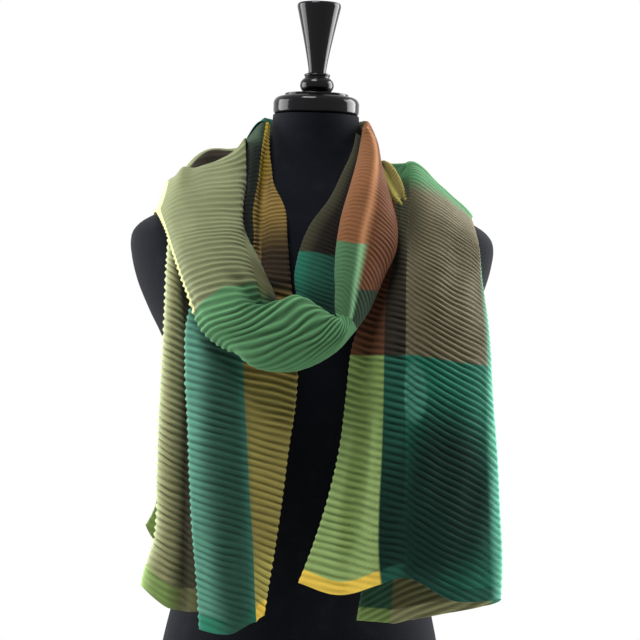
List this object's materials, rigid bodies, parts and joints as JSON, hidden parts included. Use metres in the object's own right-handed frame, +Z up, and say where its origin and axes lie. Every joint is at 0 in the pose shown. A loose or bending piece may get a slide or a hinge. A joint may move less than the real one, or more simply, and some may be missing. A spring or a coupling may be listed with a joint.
{
  "type": "pleated scarf on a dress form",
  "caption": "Long crinkle-pleated scarf in a large colour-block check, wound round the neck of a limbless black dress form that stands on its flat underside.",
  "frame": {"origin": "centre of the dress form's flat underside", "axes": "+Z up to the finial, -Y to the front, +X to the viewer's right"},
  "size_m": [0.4036, 0.293, 0.854],
  "materials": {
    "black_jersey": "matt black stretch jersey over the form",
    "black_gloss": "polished black lacquer",
    "sage_cloth": "dry matt crinkle-pleated cloth",
    "green_cloth": "dry matt crinkle-pleated cloth",
    "teal_cloth": "dry matt crinkle-pleated cloth",
    "olive_cloth": "dry matt crinkle-pleated cloth",
    "brown_cloth": "dry matt crinkle-pleated cloth",
    "orange_cloth": "dry matt crinkle-pleated cloth",
    "gold_cloth": "dry matt crinkle-pleated cloth",
    "yellow_cloth": "dry matt crinkle-pleated cloth",
    "lime_cloth": "dry matt crinkle-pleated cloth"
  },
  "bodies": {
    "root": {"form_torso": "black_jersey", "form_neck_cap": "black_gloss", "form_cap_plate": "black_gloss", "form_finial": "black_gloss", "scarf_tail_right_top": "brown_cloth", "scarf_tail_right_upper": "brown_cloth", "scarf_tail_right_lower": "green_cloth", "scarf_hem_right": "yellow_cloth", "scarf_shoulder_right": "brown_cloth", "scarf_gather_right": "yellow_cloth", "scarf_nape_outer": "olive_cloth", "scarf_nape_inner": "brown_cloth", "scarf_loop_left": "sage_cloth", "scarf_loop_bottom": "green_cloth", "scarf_limb_right": "orange_cloth", "scarf_strip_right": "brown_cloth", "scarf_neck_left": "gold_cloth", "scarf_tail_left": "green_cloth", "scarf_hem_left": "teal_cloth", "scarf_roll_left": "olive_cloth", "scarf_hem_roll": "lime_cloth", "scarf_corner_left": "lime_cloth"}
  },
  "joints": []
}
